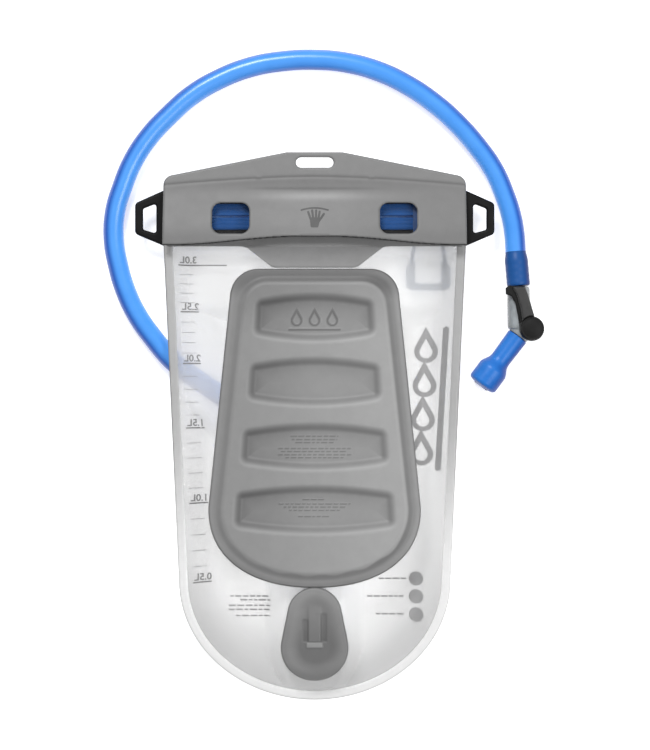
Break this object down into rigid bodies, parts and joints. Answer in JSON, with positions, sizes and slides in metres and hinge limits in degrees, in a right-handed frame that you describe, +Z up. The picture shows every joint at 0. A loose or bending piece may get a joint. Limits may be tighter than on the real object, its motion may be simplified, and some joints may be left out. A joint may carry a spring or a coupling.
{
  "type": "hydration bladder",
  "caption": "Flat clear drinking reservoir with a zipped mouth, hand sleeve, stiff back plate and a plug-in blue hose with an on/off lever and bite valve.",
  "frame": {"origin": "on the floor under the middle of the bag, with the loose hose and its fittings left out", "axes": "+Y towards the hang slot, +Z up to the back plate, +X to the side where the zip pull rests"},
  "size_m": [0.3011, 0.444, 0.039],
  "materials": {
    "film": "frosted clear TPU film, satin",
    "weld": "fused film, denser and glossier",
    "panel_grey": "fine matt moulded TPU",
    "flap_grey": "satin TPU-coated sheet",
    "zip_blue": "dark blue extruded zip profile",
    "tape_black": "black coated tape",
    "loop_black": "black moulded TPU",
    "slider_blue": "dark blue moulded plastic",
    "pull_cord_blue": "braided cord",
    "pull_grip_blue": "soft moulded grip",
    "port_plastic": "dark grey moulded plastic",
    "poppet_white": "natural moulded plastic",
    "spring_steel": "stainless spring wire",
    "button_blue": "blue moulded plastic",
    "seal_rubber": "black seal rubber",
    "plug_grey": "dark grey moulded plastic",
    "hose_blue": "glossy translucent blue TPU tube",
    "cuff_blue": "darker blue where the tube stretches over the barb",
    "valve_grey": "smoky translucent plastic",
    "lever_black": "black soft-touch plastic",
    "core_black": "black low-friction plastic",
    "bite_silicone": "blue silicone, satin"
  },
  "bodies": {
    "bag": {"back_film": "film", "front_film": "film", "edge_weld": "weld", "back_panel": "panel_grey", "port_baffle": "panel_grey", "hanger_flap": "flap_grey", "grip_gusset": "flap_grey", "zip_track_upper": "zip_blue", "zip_track_lower": "zip_blue", "zip_tape_upper": "tape_black", "zip_tape_lower": "tape_black", "end_loop_left": "loop_black", "end_loop_right": "loop_black", "port_socket": "port_plastic", "poppet_spring": "spring_steel", "button_spring": "spring_steel"},
    "zip_slider": {"zip_slider": "slider_blue"},
    "zip_pull": {"zip_pull_cord": "pull_cord_blue", "zip_pull_grip": "pull_grip_blue"},
    "poppet": {"port_poppet": "poppet_white"},
    "button": {"release_button": "button_blue"},
    "hose_assembly": {"link_plug": "plug_grey", "link_o_ring": "seal_rubber", "hose": "hose_blue", "hose_cuff": "cuff_blue", "valve_body": "valve_grey", "bite_valve": "bite_silicone"},
    "lever": {"valve_lever": "lever_black", "valve_core": "core_black", "core_o_ring": "seal_rubber"}
  },
  "joints": [
    {"name": "zip_travel", "type": "slide", "parent": "bag", "child": "zip_slider", "axis": [1, 0, 0], "range_m": [-0.156, 0.006]},
    {"name": "pull_swing", "type": "hinge", "parent": "zip_slider", "child": "zip_pull", "pos_m": [0.078, 0.132, 0.0086], "axis": [1, 0, 0], "range_deg": [0, 150]},
    {"name": "hose_unplug", "type": "slide", "parent": "bag", "child": "hose_assembly", "axis": [0, 1, 0], "range_m": [0, 0.02]},
    {"name": "poppet_travel", "type": "slide", "parent": "bag", "child": "poppet", "axis": [0, 1, 0], "range_m": [0, 0.004]},
    {"name": "release_press", "type": "slide", "parent": "bag", "child": "button", "axis": [-1, 0, 0], "range_m": [0, 0.0015], "stiffness_N_per_m": 400, "springref_m": -0.001, "deforming": ["button_spring"]},
    {"name": "lever_turn", "type": "hinge", "parent": "hose_assembly", "child": "lever", "pos_m": [0.1477, 0.0662, 0.018], "axis": [0, 0, -1], "range_deg": [0, 90]}
  ],
  "couplings": [
    {"joint": "poppet_travel", "follows": "hose_unplug", "ratio": 0.2}
  ]
}
